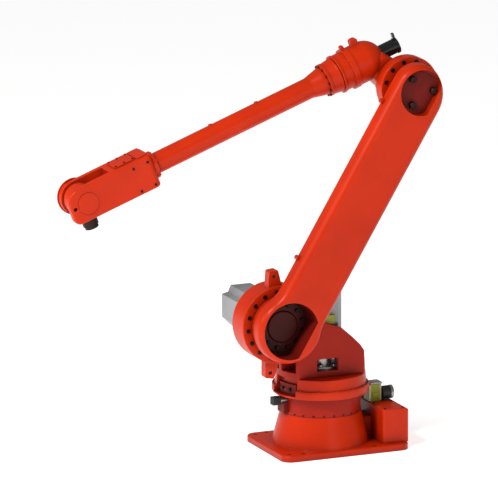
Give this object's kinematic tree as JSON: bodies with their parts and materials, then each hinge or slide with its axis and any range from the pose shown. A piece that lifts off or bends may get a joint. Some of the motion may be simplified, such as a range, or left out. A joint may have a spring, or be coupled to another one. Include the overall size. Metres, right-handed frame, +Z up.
{
  "type": "industrial robot arm",
  "caption": "Six-axis jointed robot arm on a floor plate, with a turning turret, a leaning lower arm, a long tubular forearm and a forked wrist with a round tool flange.",
  "frame": {"origin": "on the floor under axis 1, in the middle of the four anchor holes", "axes": "+Z up along axis 1, +X forward over the tool, +Y towards the side that carries the lower arm"},
  "size_m": [1.7633, 0.587, 1.8774],
  "materials": {
    "red_paint": "satin orange-red enamel on cast metal",
    "dark_red_paint": "dull dark red enamel on steel",
    "motor_grey": "matt grey paint on die-cast aluminium",
    "steel": "turned steel",
    "dark_steel": "blackened steel",
    "rubber": "matt black rubber",
    "black_plastic": "matt black moulded plastic",
    "olive_plastic": "moulded olive-green plastic",
    "light_plastic": "moulded pale grey plastic"
  },
  "bodies": {
    "base": {"base_casting": "red_paint", "axis1_gear_ring": "red_paint", "stop_bracket": "dark_red_paint", "stop_bush": "steel", "stop_buffer": "rubber", "connection_box": "red_paint", "box_rear_cover": "red_paint", "power_connector": "olive_plastic", "power_connector_cap": "light_plastic", "signal_connector": "black_plastic", "signal_connector_ring": "steel"},
    "turret": {"turret_skirt": "red_paint", "skirt_pocket_bracket": "dark_red_paint", "turret_casting": "red_paint", "axis1_gear_cover": "steel", "axis1_motor": "motor_grey", "axis1_motor_end_cover": "motor_grey", "axis1_power_plug": "olive_plastic", "axis1_signal_plug": "black_plastic", "axis2_gear_housing": "red_paint", "axis2_motor": "motor_grey", "axis2_motor_flange": "motor_grey", "axis2_motor_end_cover": "motor_grey"},
    "lower_arm_body": {"axis2_gear_shaft": "steel", "lower_arm": "red_paint", "arm_lugs": "red_paint", "hub_bearing_ring": "dark_red_paint", "hub_gear_cap": "dark_red_paint", "elbow_gear_plate": "dark_red_paint", "elbow_pivot": "steel"},
    "elbow": {"elbow_drum": "red_paint", "elbow_housing": "red_paint", "nose_flange": "red_paint", "rear_tube": "black_plastic", "rear_tube_flange": "black_plastic", "axis3_motor": "motor_grey"},
    "forearm": {"roll_ring": "red_paint", "forearm_tube": "red_paint", "wrist_disc": "red_paint", "wrist_fork": "red_paint", "wrist_top_cover": "red_paint", "wrist_top_flange": "red_paint", "wrist_far_cap": "red_paint", "wrist_near_cap": "red_paint"},
    "wrist": {"wrist_block": "red_paint"},
    "tool": {"tool_flange": "dark_steel"}
  },
  "joints": [
    {"name": "axis1_turn", "type": "hinge", "parent": "base", "child": "turret", "pos_m": [0, 0, 0], "axis": [0, 0, 1], "range_deg": [-185, 185]},
    {"name": "axis2_swing", "type": "hinge", "parent": "turret", "child": "lower_arm_body", "pos_m": [0.262, 0, 0.619], "axis": [0, 1, 0], "range_deg": [-28, 105]},
    {"name": "axis3_swing", "type": "hinge", "parent": "lower_arm_body", "child": "elbow", "pos_m": [-0.37695, 0, 1.65364], "axis": [0, -1, 0], "range_deg": [-15, 150]},
    {"name": "axis4_roll", "type": "hinge", "parent": "elbow", "child": "forearm", "pos_m": [-0.32218, 0, 1.80014], "axis": [0.9367, 0, -0.3502], "range_deg": [-185, 185]},
    {"name": "axis5_tilt", "type": "hinge", "parent": "forearm", "child": "wrist", "pos_m": [1.15449, 0, 1.24804], "axis": [0, 1, 0], "range_deg": [-210, 30]},
    {"name": "axis6_turn", "type": "hinge", "parent": "wrist", "child": "tool", "pos_m": [1.10616, 0, 1.11878], "axis": [-0.3502, 0, -0.9367], "range_deg": [-350, 350]}
  ]
}
